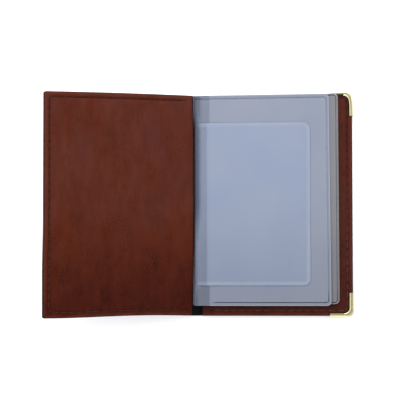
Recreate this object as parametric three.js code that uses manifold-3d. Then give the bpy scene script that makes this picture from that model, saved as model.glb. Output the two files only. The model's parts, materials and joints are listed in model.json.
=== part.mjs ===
// Leather passport holder, lying open. Millimetres, +Z up, +Y towards the head of the cover.
// The right cover lies flat on the table. The left cover stands up by REST_LIFT, as stiff new
// leather does. A plastic insert of welded sleeves is bound at the fold and lies on the right cover.
// Everything is drawn about the middle of the spine, X = 0, and the finished holder is then moved
// along X so that its origin is on the table under the middle of its bounding box.

import * as THREE from "three";
import { mergeVertices } from "three/addons/utils/BufferGeometryUtils.js";
import Module from "manifold-3d";

// Cover
const COVER_WIDTH = 95; // spine centre to outer edge
const COVER_HEIGHT = 135;
const REST_LIFT = THREE.MathUtils.degToRad(22);
const SPINE_HALF = 3.2; // the panels end here, and the bending strip begins
const CORNER_RADIUS_RIGHT = 3.7;
const CORNER_RADIUS_LEFT = 2.2;

// Layers of one cover, from the table up
const OUTER_LEATHER = 1.1;
const STIFFENER = 0.7;
const LINING = 0.3;
const FLAP_LEATHER = 0.9;
const LAYER_GAP = 0.1;
const POCKET_GAP = 0.5; // room for the insert's tongue
const STIFFENER_Z = OUTER_LEATHER + LAYER_GAP;
const LINING_Z = STIFFENER_Z + STIFFENER + LAYER_GAP;
const FLAP_Z = LINING_Z + LINING + POCKET_GAP;
const COVER_TOP = FLAP_Z + FLAP_LEATHER;
const HIDDEN_INSET = 0.6; // how far board and lining stop short of the cut edge
const STIFFENER_INNER_X = 4.6;
const FLAP_INNER_X_RIGHT = 3.4;
const FLAP_INNER_X_LEFT = 1.6;

// Seam
const SEAM_INSET = 3.3;
const SEAM_CORNER_RADIUS = 2;
const THREAD_WIDTH = 0.5;
const GROOVE_WIDTH = 0.9;
const GROOVE_DEPTH = 0.45;
const GROOVE_START = 1; // from the leather's edge at the spine
const THREAD_START = 1.2;
const THREAD_THICKNESS = 0.3;
const THREAD_SINK = 0.05; // the thread lies this far below the leather's face

// Brass corner caps, on the right cover
const CAP_LEG = 14.5;
const CAP_STANDOFF = 0.5; // brass outside the leather's edge
const CAP_WALL = 0.4;
const CAP_LIP_SIDE = 2.5;
const CAP_LIP_END = 2.0;
const CAP_FILLET = 1;
const CAP_PROUD = 0.02; // top lip above the leather
const PINCH_CLEARANCE = 0.1;
const OVERCUT = 1; // cutting tools run this far past the face they open

// Plastic insert
const FOLD_HEIGHT = 5.5; // height of the fold axis, half of the closed thickness
const FILM = 0.18;
const SLEEVE_POCKET_GAP = 0.12;
const SLEEVE_GAP = 0.1;
const SLEEVE_REST_GAP = 0.15; // lowest sleeve above the right pocket's leather
const SLEEVE_BASE_Z = COVER_TOP + SLEEVE_REST_GAP;
const SLEEVE_ROOT_X = 1.3;
const SLEEVE_TOP_Y = 67;
const SLEEVE_CORNER_RADIUS = 2.6;
const TOP_SLEEVE = { right: 81.7, bottom: -61.3 };
const LOWER_SLEEVE_RIGHTS = [86.3, 86.8, 86.5, 87.1];
const LOWER_SLEEVE_BOTTOM = -60.2;
const SLEEVE_COUNT = 1 + LOWER_SLEEVE_RIGHTS.length;
const CARD_POCKET = { left: 1.5, right: 69.2, top: 50.4, bottom: -49.2, radius: 3.7 };
const BINDING_RADIUS = 0.9;
const TONGUE_FILM = 0.25;
const TONGUE_GAP = 0.12;
const TONGUE_WIDTH = 68;
const TONGUE_INNER_X = 1.4;
const TONGUE_Z = LINING_Z + LINING + TONGUE_GAP;
const WEB_GAP = 0.15; // web to tongue, and web to bead
const WEB_BEND = 0.65; // how far the web runs straight before it bends

const CURVE_SEGMENTS = 8;

const wasm = await Module();
wasm.setup();

const materials = {
  leather: { color: 0x5d2c20, roughness: 0.55, metalness: 0 },
  board: { color: 0x8a7a66, roughness: 0.9, metalness: 0 },
  lining: { color: 0x141416, roughness: 0.85, metalness: 0 },
  thread: { color: 0x2a1510, roughness: 0.7, metalness: 0 },
  brass: { color: 0xcdb878, roughness: 0.28, metalness: 1 },
  film: { color: 0xa4aec6, roughness: 0.3, metalness: 0 },
};

function part(name, geometry, look) {
  const mesh = new THREE.Mesh(geometry, new THREE.MeshStandardMaterial(materials[look]));
  mesh.name = name;
  return mesh;
}

// Solids for cutting

function toSolid(geometry) {
  const bare = geometry.clone();
  bare.deleteAttribute("normal");
  bare.deleteAttribute("uv");
  const merged = mergeVertices(bare, 1e-4);
  return new wasm.Manifold(new wasm.Mesh({
    numProp: 3,
    vertProperties: merged.attributes.position.array,
    triVerts: new Uint32Array(merged.index.array),
  }));
}

function toGeometry(solid) {
  const mesh = solid.getMesh();
  const indexed = new THREE.BufferGeometry();
  indexed.setAttribute("position", new THREE.BufferAttribute(mesh.vertProperties, 3));
  indexed.setIndex(new THREE.BufferAttribute(mesh.triVerts, 1));
  const flat = indexed.toNonIndexed();
  flat.computeVertexNormals();
  return flat;
}

function cut(geometry, tools) {
  return toGeometry(tools.reduce((solid, tool) => solid.subtract(toSolid(tool)), toSolid(geometry)));
}

// Outlines, drawn for the right-hand side and mirrored for the left

function onSide(shape, side) {
  if (side > 0) return shape;
  const points = shape.getPoints(CURVE_SEGMENTS);
  return new THREE.Shape(points.map((p) => new THREE.Vector2(-p.x, p.y)));
}

function sheet(shape, z, thickness) {
  const options = { depth: thickness, bevelEnabled: false, curveSegments: CURVE_SEGMENTS };
  return new THREE.ExtrudeGeometry(shape, options).translate(0, 0, z);
}

// A rectangle whose two corners away from the spine are rounded.
function pageOutline(left, right, bottom, top, radius) {
  const shape = new THREE.Shape();
  shape.moveTo(left, bottom);
  shape.lineTo(right - radius, bottom);
  shape.absarc(right - radius, bottom + radius, radius, -Math.PI / 2, 0, false);
  shape.lineTo(right, top - radius);
  shape.absarc(right - radius, top - radius, radius, 0, Math.PI / 2, false);
  shape.lineTo(left, top);
  shape.closePath();
  return shape;
}

function panelOutline(innerX, inset, radius) {
  const halfHeight = COVER_HEIGHT / 2 - inset;
  return pageOutline(innerX, COVER_WIDTH - inset, -halfHeight, halfHeight, radius - inset);
}

// A band along the three sewn sides, centred on the seam line.
function seamOutline(innerX, width) {
  const right = COVER_WIDTH - SEAM_INSET;
  const top = COVER_HEIGHT / 2 - SEAM_INSET;
  const outside = pageOutline(
    innerX, right + width / 2, -top - width / 2, top + width / 2, SEAM_CORNER_RADIUS + width / 2);
  const inside = pageOutline(
    innerX, right - width / 2, -top + width / 2, top - width / 2, SEAM_CORNER_RADIUS - width / 2);
  const outward = outside.getPoints(CURVE_SEGMENTS).slice(0, -1);
  const back = inside.getPoints(CURVE_SEGMENTS).slice(0, -1).reverse();
  return new THREE.Shape([...outward, ...back]);
}

// The L-shaped plan of a corner cap; end is +1 at the head and -1 at the foot.
function capOutline(end, clearance) {
  const x = COVER_WIDTH + CAP_STANDOFF;
  const y = COVER_HEIGHT / 2 + CAP_STANDOFF;
  const radius = CORNER_RADIUS_RIGHT + CAP_STANDOFF;
  const leg = CAP_LEG + clearance;
  const lipX = x - CAP_LIP_SIDE - clearance;
  const lipY = y - CAP_LIP_END - clearance;
  const shape = new THREE.Shape();
  shape.moveTo(x - leg, lipY);
  shape.lineTo(lipX - CAP_FILLET, lipY);
  shape.absarc(lipX - CAP_FILLET, lipY - CAP_FILLET, CAP_FILLET, Math.PI / 2, 0, true);
  shape.lineTo(lipX, y - leg);
  shape.lineTo(x, y - leg);
  shape.lineTo(x, y - radius);
  shape.absarc(x - radius, y - radius, radius, 0, Math.PI / 2, false);
  shape.lineTo(x - leg, y);
  shape.closePath();
  const points = shape.getPoints(CURVE_SEGMENTS);
  return new THREE.Shape(points.map((p) => new THREE.Vector2(p.x, end * p.y)));
}

// Leather, board and lining of one half, side +1 for right and -1 for left

function pinches(z, depth) {
  return [1, -1].map((end) => sheet(capOutline(end, PINCH_CLEARANCE), z, depth));
}

function outerLeather(side, radius) {
  const skin = sheet(onSide(panelOutline(SPINE_HALF, 0, radius), side), 0, OUTER_LEATHER);
  const seam = onSide(seamOutline(SPINE_HALF + GROOVE_START, GROOVE_WIDTH), side);
  const groove = sheet(seam, -OVERCUT, OVERCUT + GROOVE_DEPTH);
  const pinchDepth = OVERCUT + CAP_WALL + PINCH_CLEARANCE;
  return cut(skin, side > 0 ? [groove, ...pinches(-OVERCUT, pinchDepth)] : [groove]);
}

function pocketFlap(side, innerX, radius) {
  const skin = sheet(onSide(panelOutline(innerX, 0, radius), side), FLAP_Z, FLAP_LEATHER);
  const seam = onSide(seamOutline(innerX + GROOVE_START, GROOVE_WIDTH), side);
  const groove = sheet(seam, COVER_TOP - GROOVE_DEPTH, OVERCUT);
  const pinchZ = COVER_TOP + CAP_PROUD - CAP_WALL - PINCH_CLEARANCE;
  return cut(skin, side > 0 ? [groove, ...pinches(pinchZ, OVERCUT)] : [groove]);
}

function threads(side, word, flapInnerX) {
  const outer = onSide(seamOutline(SPINE_HALF + THREAD_START, THREAD_WIDTH), side);
  const inner = onSide(seamOutline(flapInnerX + THREAD_START, THREAD_WIDTH), side);
  const innerZ = COVER_TOP - THREAD_SINK - THREAD_THICKNESS;
  return [
    part(`seam_thread_outer_${word}`, sheet(outer, THREAD_SINK, THREAD_THICKNESS), "thread"),
    part(`seam_thread_inner_${word}`, sheet(inner, innerZ, THREAD_THICKNESS), "thread"),
  ];
}

function coverHalf(side, word, flapInnerX, radius) {
  const board = onSide(panelOutline(STIFFENER_INNER_X, HIDDEN_INSET, radius), side);
  const lining = onSide(panelOutline(SPINE_HALF, HIDDEN_INSET, radius), side);
  const half = new THREE.Group();
  half.add(
    part(`outer_leather_${word}`, outerLeather(side, radius), "leather"),
    part(`stiffener_${word}`, sheet(board, STIFFENER_Z, STIFFENER), "board"),
    part(`lining_${word}`, sheet(lining, LINING_Z, LINING), "lining"),
    part(`pocket_flap_${word}`, pocketFlap(side, flapInnerX, radius), "leather"),
    ...threads(side, word, flapInnerX),
  );
  return half;
}

// Brass cap: a pressed channel with a wall round the corner and a lip above and below the leather

function cornerCap(end) {
  const height = COVER_TOP + CAP_PROUD;
  const shell = sheet(capOutline(end, 0), 0, height);
  const wallX = COVER_WIDTH + CAP_STANDOFF - CAP_WALL;
  const wallY = COVER_HEIGHT / 2 + CAP_STANDOFF - CAP_WALL;
  const radius = CORNER_RADIUS_RIGHT + CAP_STANDOFF - CAP_WALL;
  const inside = pageOutline(wallX - 2 * CAP_LEG, wallX, -wallY, wallY, radius);
  return cut(shell, [sheet(inside, CAP_WALL, height - 2 * CAP_WALL)]);
}

// Spine: strips bent round an axis along Y, between the two panels

// A strip between two heights of the flat cover, bent through the rest lift.
function spineStrip(bottom, thickness, inset) {
  const bendRadius = FOLD_HEIGHT + SPINE_HALF / Math.tan(REST_LIFT / 2);
  const endGap = LAYER_GAP / bendRadius;
  const from = -Math.PI / 2 - REST_LIFT + endGap;
  const to = -Math.PI / 2 - endGap;
  const shape = new THREE.Shape();
  shape.absarc(SPINE_HALF, bendRadius, bendRadius - bottom, from, to, false);
  shape.absarc(SPINE_HALF, bendRadius, bendRadius - bottom - thickness, to, from, true);
  return alongY(shape, COVER_HEIGHT / 2 - inset, -COVER_HEIGHT / 2 + inset);
}

// Extrudes a section drawn in X and Z from bottomY to topY.
function alongY(section, topY, bottomY) {
  const options = { depth: topY - bottomY, bevelEnabled: false, curveSegments: 2 * CURVE_SEGMENTS };
  return new THREE.ExtrudeGeometry(section, options).rotateX(Math.PI / 2).translate(0, topY, 0);
}

// Plastic insert

function insertBinding() {
  const length = SLEEVE_TOP_Y - TOP_SLEEVE.bottom;
  const bead = new THREE.CylinderGeometry(BINDING_RADIUS, BINDING_RADIUS, length, 2 * CURVE_SEGMENTS);
  return bead.translate(0, (SLEEVE_TOP_Y + TOP_SLEEVE.bottom) / 2, FOLD_HEIGHT);
}

function insertTongue() {
  const shape = pageOutline(
    TONGUE_INNER_X, TONGUE_INNER_X + TONGUE_WIDTH, TOP_SLEEVE.bottom, SLEEVE_TOP_Y, SLEEVE_CORNER_RADIUS);
  return sheet(onSide(shape, -1), TONGUE_Z, TONGUE_FILM);
}

// The film between the tongue and the weld bead, rising out of the left pocket's mouth.
function insertWeb() {
  const axis = new THREE.Vector2();
  const tongueZ = TONGUE_Z + TONGUE_FILM / 2 - FOLD_HEIGHT;
  const start = new THREE.Vector2(-TONGUE_INNER_X + WEB_GAP, tongueZ).rotateAround(axis, -REST_LIFT);
  const leave = new THREE.Vector2(WEB_BEND, 0).rotateAround(axis, -REST_LIFT).add(start);
  const towardsBead = new THREE.Vector2(-1, -1).normalize();
  const end = towardsBead.clone().multiplyScalar(BINDING_RADIUS + WEB_GAP);
  const arrive = towardsBead.clone().multiplyScalar(WEB_BEND).add(end);
  const middle = new THREE.CubicBezierCurve(start, leave, arrive, end);
  const edge = (offset) => Array.from({ length: CURVE_SEGMENTS + 1 }, (_, i) => {
    const at = middle.getPoint(i / CURVE_SEGMENTS);
    const along = middle.getTangent(i / CURVE_SEGMENTS);
    return new THREE.Vector2(at.x - along.y * offset, at.y + along.x * offset + FOLD_HEIGHT);
  });
  const section = new THREE.Shape([...edge(TONGUE_FILM / 2), ...edge(-TONGUE_FILM / 2).reverse()]);
  return alongY(section, SLEEVE_TOP_Y, TOP_SLEEVE.bottom);
}

// Sleeves are numbered from the top one down; each is a back film and a front film.
function sleeve(number) {
  const pitch = 2 * FILM + SLEEVE_POCKET_GAP + SLEEVE_GAP;
  const z = SLEEVE_BASE_Z + (SLEEVE_COUNT - number) * pitch;
  const right = number === 1 ? TOP_SLEEVE.right : LOWER_SLEEVE_RIGHTS[number - 2];
  const bottom = number === 1 ? TOP_SLEEVE.bottom : LOWER_SLEEVE_BOTTOM;
  const outline = pageOutline(SLEEVE_ROOT_X, right, bottom, SLEEVE_TOP_Y, SLEEVE_CORNER_RADIUS);
  const films = new THREE.Group();
  films.add(
    part(`sleeve_${number}_back`, sheet(outline, z, FILM), "film"),
    part(`sleeve_${number}_front`, sheet(outline, z + FILM + SLEEVE_POCKET_GAP, FILM), "film"),
  );
  if (number === 1) {
    const pocket = CARD_POCKET;
    const shape = pageOutline(pocket.left, pocket.right, pocket.bottom, pocket.top, pocket.radius);
    films.add(part("card_pocket_film", sheet(shape, z + pitch, FILM), "film"));
  }
  return films;
}

// The left cover swings about the fold axis, which runs along Y at FOLD_HEIGHT.
function leftCover() {
  const flat = coverHalf(-1, "left", FLAP_INNER_X_LEFT, CORNER_RADIUS_LEFT);
  flat.add(part("insert_tongue", insertTongue(), "film"));
  flat.position.z = -FOLD_HEIGHT;
  const swing = new THREE.Group();
  swing.add(flat);
  swing.position.z = FOLD_HEIGHT;
  swing.rotation.y = REST_LIFT;
  return swing;
}

const LEFT_REACH = COVER_WIDTH * Math.cos(REST_LIFT) + FOLD_HEIGHT * Math.sin(REST_LIFT);
const RIGHT_REACH = COVER_WIDTH + CAP_STANDOFF;

const holder = new THREE.Group();
holder.position.x = (LEFT_REACH - RIGHT_REACH) / 2;
holder.add(
  coverHalf(1, "right", FLAP_INNER_X_RIGHT, CORNER_RADIUS_RIGHT),
  part("corner_cap_top", cornerCap(1), "brass"),
  part("corner_cap_bottom", cornerCap(-1), "brass"),
  part("spine_leather", spineStrip(0, OUTER_LEATHER, 0), "leather"),
  part("spine_lining", spineStrip(LINING_Z, LINING, HIDDEN_INSET), "lining"),
  leftCover(),
  part("insert_binding", insertBinding(), "film"),
  part("insert_web", insertWeb(), "film"),
);
for (let number = 1; number <= SLEEVE_COUNT; number += 1) {
  holder.add(sleeve(number));
}

export default holder;
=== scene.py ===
"""The look of the leather passport holder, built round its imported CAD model.

Most pieces are drawn "flat": x is the distance from the fold axis (negative on the left cover),
y runs along the fold and z is the height with both covers lying on the table. to_frame() then
lifts what belongs to the left cover by its rest angle.
"""

import json
import math

import bpy
import numpy as np
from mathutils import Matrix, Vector


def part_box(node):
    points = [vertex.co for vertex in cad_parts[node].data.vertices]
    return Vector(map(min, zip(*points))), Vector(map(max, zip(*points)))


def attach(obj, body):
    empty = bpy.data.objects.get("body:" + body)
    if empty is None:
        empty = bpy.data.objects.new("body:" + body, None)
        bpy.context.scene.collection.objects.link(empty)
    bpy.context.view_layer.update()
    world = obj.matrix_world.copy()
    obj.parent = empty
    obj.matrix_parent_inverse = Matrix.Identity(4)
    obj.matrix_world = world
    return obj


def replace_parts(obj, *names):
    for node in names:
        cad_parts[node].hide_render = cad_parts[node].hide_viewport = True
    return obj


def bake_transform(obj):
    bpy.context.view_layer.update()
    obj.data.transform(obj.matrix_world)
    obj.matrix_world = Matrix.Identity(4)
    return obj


MM = 0.001
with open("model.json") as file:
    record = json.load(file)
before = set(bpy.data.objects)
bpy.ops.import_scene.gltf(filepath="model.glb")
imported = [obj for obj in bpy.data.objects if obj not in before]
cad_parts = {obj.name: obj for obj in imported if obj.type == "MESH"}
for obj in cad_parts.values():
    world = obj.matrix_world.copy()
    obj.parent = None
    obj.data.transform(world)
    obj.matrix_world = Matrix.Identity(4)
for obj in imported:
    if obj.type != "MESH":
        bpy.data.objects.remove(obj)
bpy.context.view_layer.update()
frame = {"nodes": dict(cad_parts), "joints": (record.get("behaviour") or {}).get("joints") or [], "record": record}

fold_joint = next(j for j in frame["joints"] if j["name"] == "cover_fold")
FOLD_X, _, FOLD_Z = fold_joint["pos_m"]
LIFT = -math.radians(fold_joint["range_deg"][0])  # the covers lie flat at the joint's lower limit
FOLD_HALF = 2.2 * MM  # the leather bends within this distance of the fold axis


def smooth(value, low, high):
    """0 below low, 1 above high and a soft step between them."""
    t = np.clip((value - low) / (high - low), 0, 1)
    return t * t * (3 - 2 * t)


def uneven(points):
    """Moves points by the fraction of a millimetre that the cut covers leave a true rectangle."""
    x, y = points[:, 0], points[:, 1]
    out, right, left = np.abs(x) / WIDTH, x > 0, x <= 0
    head, foot = np.clip(y / HALF, 0, 1), np.clip(-y / HALF, 0, 1)
    # right cover: its head edge rises away from the fold and the brass corner there leans in
    rise = (0.6 * out * head + 0.5 * smooth(out, 0.82, 0.97) * smooth(head, 0.6, 0.95)) * MM
    lean_in = 0.8 * MM * smooth(out, 0.9, 0.975) * smooth(head, 0.86, 1.0)
    # left cover: a little narrower towards the head, with wavy head and foot edges
    narrowing = 0.5 * MM * out * smooth(y, -40 * MM, -10 * MM)
    wave = (0.3 * np.sin(math.pi * out) * head + 0.6 * np.sin(1.55 * math.pi * out) * foot) * MM
    moved = points.copy()
    moved[:, 0] += left * narrowing - right * lean_in
    moved[:, 1] += right * rise + left * wave
    return moved


def to_frame(flat, share):
    """Flat points to the frame, lifted by a share of the left cover's rest angle."""
    angle = LIFT * share
    out = uneven(flat)
    x, z = out[:, 0].copy(), out[:, 2] - FOLD_Z
    out[:, 0] = FOLD_X + x * np.cos(angle) + z * np.sin(angle)
    out[:, 2] = FOLD_Z - x * np.sin(angle) + z * np.cos(angle)
    return out


def share_of(side):
    """The share of the rest angle that a piece of this cover is lifted by."""
    return 0.0 if side > 0 else 1.0


def flat_box(node, side):
    """The corners of a CAD node in flat coordinates, with x measured outwards from the fold."""
    co = np.array([v.co for v in frame["nodes"][node].data.vertices], float)
    x, z = co[:, 0] - FOLD_X, co[:, 2] - FOLD_Z
    angle = LIFT * share_of(side)
    out = np.column_stack([
        side * (x * math.cos(angle) - z * math.sin(angle)),
        co[:, 1],
        FOLD_Z + x * math.sin(angle) + z * math.cos(angle),
    ])
    return out.min(0), out.max(0)


outer_low, outer_high = flat_box("outer_leather_right", 1)
flap_low, flap_high = flat_box("pocket_flap_right", 1)
lining_low, lining_high = flat_box("lining_right", 1)
WIDTH, HALF = outer_high[0], outer_high[1]
OUTER_TOP = outer_high[2]
FLAP_BOTTOM, FLAP_TOP = flap_low[2], flap_high[2]
FLAP_START = {1: flap_low[0], -1: flat_box("pocket_flap_left", -1)[0][0]}
CORNER = {1: 3.7 * MM, -1: 1.2 * MM}  # corner radius of the right (1) and left (-1) cover
SKIRT_BOTTOM = OUTER_TOP + 0.05 * MM  # the pocket leather's edge meets the outer leather here
SKIRT_WIDTH = 0.5 * MM

SEAM_INSET = 3.3 * MM
SEAM_RADIUS = 2 * MM
SEAM_START = {1: 7 * MM, -1: 5.5 * MM}
STITCHES_ALONG_SIDE = 25
GROOVE_DEPTH = 0.3 * MM
GROOVE_WIDTH = 0.34 * MM
PULL_DEPTH = 0.14 * MM  # the stitching also draws in the leather beside the groove
PULL_WIDTH = 1.4 * MM
HOLE_DEPTH = 0.34 * MM
HOLE_RADIUS = 0.3 * MM
# width of the painted shade round each needle hole
HOLE_STAIN = 0.5 * MM
THREAD_SINK = 0.17 * MM  # from the pocket leather's face to the middle of the thread
OUTER_THREAD_HEIGHT = 0.27 * MM  # from the table to the middle of the thread on the back
THREAD_GAP = 0.22 * MM  # from a needle hole's middle to the end of the thread
THREAD_DIVE = 0.3 * MM  # how far its ends go down into the holes
THREAD_HALF_WIDTH = 0.29 * MM
THREAD_HALF_HEIGHT = 0.19 * MM
PLY_TURNS_PER_MM = 1.9


# Numbers


def bump(value, centre, width):
    """1 at the centre, fading to 0 on both sides."""
    return np.exp(-(((value - centre) / width) ** 2))


def spread(*stops):
    """Numbers from the first stop on: each further stop is (end, step)."""
    out = [stops[0]]
    for end, step in stops[1:]:
        count = max(1, round(abs(end - out[-1]) / step))
        out += list(np.linspace(out[-1], end, count + 1)[1:])
    return np.array(out)


def tidy(values, closest=0.02 * MM):
    """Sorted numbers, without those that nearly repeat the one before."""
    values = np.sort(np.concatenate([np.atleast_1d(v) for v in values]))
    return values[np.concatenate([[True], np.diff(values) > closest])]


def ripple(x, y, seed, wavelength):
    """A smooth unevenness from -1 to 1, always the same for the same seed."""
    draw = np.random.default_rng(seed)
    total = np.zeros_like(x)
    for _ in range(7):
        heading, phase = draw.uniform(0, 2 * math.pi, 2)
        wave = 2 * math.pi / (wavelength * draw.uniform(0.6, 1.8))
        total += np.sin(wave * (x * math.cos(heading) + y * math.sin(heading)) + phase)
    return total / 7


def inside(x, y, right, low, high, radius):
    """How far a point lies inside the three outer sides of a page with two rounded corners."""
    qx = x - (right - radius)
    qy = np.abs(y - (low + high) / 2) - ((high - low) / 2 - radius)
    outside = np.hypot(np.maximum(qx, 0), np.maximum(qy, 0))
    return radius - outside - np.minimum(np.maximum(qx, qy), 0)


def rounded(x, y, right, low, high, radius):
    """Moves the two square corners of a page onto arcs. x is measured outwards."""
    a = np.clip((x - (right - radius)) / radius, 0, 1)
    for sign, edge in ((1, high), (-1, -low)):
        b = np.clip((sign * y - (edge - radius)) / radius, 0, 1)
        corner = (a > 0) & (b > 0)
        x = np.where(corner, right - radius + radius * a * np.sqrt(1 - b * b / 2), x)
        y = np.where(corner, sign * (edge - radius + radius * b * np.sqrt(1 - a * a / 2)), y)
    return x, y


# Meshes


def two_faces(x, y, top, bottom):
    """The points of a sheet: its top grid, then its bottom grid."""
    return np.concatenate([np.stack([x, y, z], axis=2).reshape(-1, 3) for z in (top, bottom)])


def piece(name, points, faces, material, slot, **attributes):
    """A smooth mesh in its material slot, with numbers or vectors stored on its points."""
    mesh = bpy.data.meshes.new(name)
    mesh.from_pydata(points, [], faces)
    mesh.shade_smooth()
    mesh.set_sharp_from_angle(angle=math.radians(50))
    for key, values in attributes.items():
        vector = values.ndim == 2
        layer = mesh.attributes.new(key, "FLOAT_VECTOR" if vector else "FLOAT", "POINT")
        layer.data.foreach_set("vector" if vector else "value", values.astype(np.float32).ravel())
    mesh.materials.append(material)
    obj = bpy.data.objects.new(name, mesh)
    bpy.context.scene.collection.objects.link(obj)
    return obj


def slab_faces(n, m, flip=False):
    """Faces of a closed sheet of n x m points: the top grid first, then the bottom grid."""
    top = np.arange(n * m).reshape(n, m)
    low = top + n * m
    quads = [
        (top[:-1, :-1], top[1:, :-1], top[1:, 1:], top[:-1, 1:]),
        (low[:-1, 1:], low[1:, 1:], low[1:, :-1], low[:-1, :-1]),
        (low[:-1, 0], low[1:, 0], top[1:, 0], top[:-1, 0]),
        (top[:-1, -1], top[1:, -1], low[1:, -1], low[:-1, -1]),
        (top[0, :-1], top[0, 1:], low[0, 1:], low[0, :-1]),
        (low[-1, :-1], low[-1, 1:], top[-1, 1:], top[-1, :-1]),
    ]
    faces = np.concatenate([np.stack([c.ravel() for c in q], axis=1) for q in quads])
    return (faces[:, ::-1] if flip else faces).tolist()


def sweep_faces(rings, around, flip=False):
    """Faces of a closed tube: rings of points, each joined to the next, with flat ends."""
    index = np.arange(rings * around).reshape(rings, around)
    after = np.roll(index, -1, axis=1)
    quads = np.stack([index[:-1].ravel(), after[:-1].ravel(), after[1:].ravel(), index[1:].ravel()], 1)
    faces = [*quads.tolist(), index[0, ::-1].tolist(), index[-1].tolist()]
    return [f[::-1] for f in faces] if flip else faces


# Materials


class Look:
    """A node material with the Principled shader and short ways to add nodes."""

    def __init__(self, name, **uniform):
        self.material = bpy.data.materials.new(name)
        self.material.use_nodes = True
        self.nodes = self.material.node_tree.nodes
        self.shader = self.nodes["Principled BSDF"]
        self.shader_sets(**uniform)
        flat = self.add("Attribute", attribute_name="flat")
        self.flat = flat.outputs["Vector"]

    def shader_sets(self, **values):
        for key, value in values.items():
            self.feed(self.shader.inputs[key.replace("_", " ")], value)

    def feed(self, socket, value):
        if isinstance(value, bpy.types.NodeSocket):
            self.material.node_tree.links.new(value, socket)
        else:
            socket.default_value = value

    def add(self, kind, inputs=None, **settings):
        node = self.nodes.new("ShaderNode" + kind)
        for key, value in settings.items():
            setattr(node, key, value)
        for key, value in (inputs or {}).items():
            self.feed(node.inputs[key], value)
        return node

    def mask(self, name):
        return self.add("Attribute", attribute_name=name).outputs["Fac"]

    def stretched(self, by):
        return self.add("Mapping", {"Vector": self.flat, "Scale": by}).outputs[0]

    def noise(self, scale, detail=3, roughness=0.5, at=None):
        inputs = {"Vector": at or self.flat, "Scale": scale, "Detail": detail, "Roughness": roughness}
        return self.add("TexNoise", inputs).outputs["Fac"]

    def cells(self, scale, feature="DISTANCE_TO_EDGE"):
        node = self.add("TexVoronoi", {"Vector": self.flat, "Scale": scale}, feature=feature)
        return node.outputs["Distance"]

    def waves(self, scale, distortion, direction):
        inputs = {"Vector": self.flat, "Scale": scale, "Distortion": distortion, "Detail": 1}
        return self.add("TexWave", inputs, bands_direction=direction).outputs["Fac"]

    def fit(self, value, low, high, to_low=0.0, to_high=1.0):
        inputs = {"Value": value, "From Min": low, "From Max": high, "To Min": to_low, "To Max": to_high}
        return self.add("MapRange", inputs).outputs["Result"]

    def sum(self, *values):
        total = values[0]
        for value in values[1:]:
            total = self.calc("ADD", total, value)
        return total

    def calc(self, operation, a, b):
        return self.add("Math", {0: a, 1: b}, operation=operation).outputs[0]

    def times(self, a, b):
        return self.calc("MULTIPLY", a, b)

    def blend(self, factor, a, b):
        node = self.add("Mix", {0: factor, 6: a, 7: b}, data_type="RGBA")
        return node.outputs[2]

    def relief(self, height, depth, strength=1.0):
        inputs = {"Height": height, "Distance": depth, "Strength": strength}
        self.feed(self.shader.inputs["Normal"], self.add("Bump", inputs).outputs[0])


# Linear colours
# leather from light to dark: noise and the painted shade towards the foot blend between these
LEATHER_LIGHT = (0.066, 0.0160, 0.0090)
LEATHER_MIDDLE = (0.060, 0.0101, 0.0034)
LEATHER_DARK = (0.031, 0.0031, 0.0007)
LEATHER_MAUVE = (0.046, 0.0120, 0.0095)
LEATHER_CRACK = (0.012, 0.0025, 0.0010)
# rubbed leather with a painted sheen; edge paint that also carries painted shade
LEATHER_WORN = (0.095, 0.0210, 0.0150)
EDGE_PAINT = (0.0070, 0.0028, 0.0018)
THREAD_DARK = (0.034, 0.0095, 0.0050)
THREAD_LIGHT = (0.048, 0.0130, 0.0065)
THREAD_WORN = (0.110, 0.0460, 0.0280)
FILM_IN_SHADE = (0.003, 0.003, 0.005)
BRASS_BRIGHT = (0.96, 0.88, 0.58)
BRASS_DULL = (0.87, 0.78, 0.46)
# painted reflections and painted shade of the brass caps
BRASS_GREY = (0.58, 0.58, 0.50)
BRASS_TARNISH = (0.20, 0.16, 0.02)
BRASS_DARK = (0.034, 0.036, 0.018)
TEXTILE_LOW = (0.0008, 0.0010, 0.0008)
TEXTILE_HIGH = (0.0045, 0.0060, 0.0045)
BOARD_DARK = (0.17, 0.13, 0.085)
BOARD_LIGHT = (0.30, 0.24, 0.17)
FLOOR_DARK = (0.94, 0.94, 0.94)
FLOOR_LIGHT = (0.96, 0.96, 0.96)


def rgb(colour, depth=1.0):
    """A colour as the four numbers of a socket, its red, green and blue times depth."""
    r, g, b = colour
    return (depth * r, depth * g, depth * b, 1.0)


def leather_cracks(look):
    """Fine broken lines, in patches."""
    patches = look.fit(look.noise(90, 2, 0.6), 0.45, 0.62)
    return look.times(look.fit(look.cells(640), 0.02, 0.10, 1.0, 0.0), patches)


def leather_pits(look, dye):
    """Clusters of small dark pits where the leather is darkest."""
    clusters = look.times(look.fit(look.noise(52, 2, 0.5), 0.42, 0.54), dye)
    pits = look.times(look.fit(look.noise(560, 3, 0.7), 0.53, 0.66), clusters)
    return look.times(pits, 0.4)


def leather_mauve(look, dye):
    """Soft upright patches of a cooler brown, and the amount that a whole piece has."""
    warmth = look.noise(60, 2, 0.5, at=look.stretched((1.6, 0.7, 1)))
    patches = look.times(look.fit(warmth, 0.42, 0.62, 0.0, 0.30), look.fit(dye, 0.0, 1.0, 1.0, 0.2))
    return look.sum(patches, look.mask("bloom"))


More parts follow.
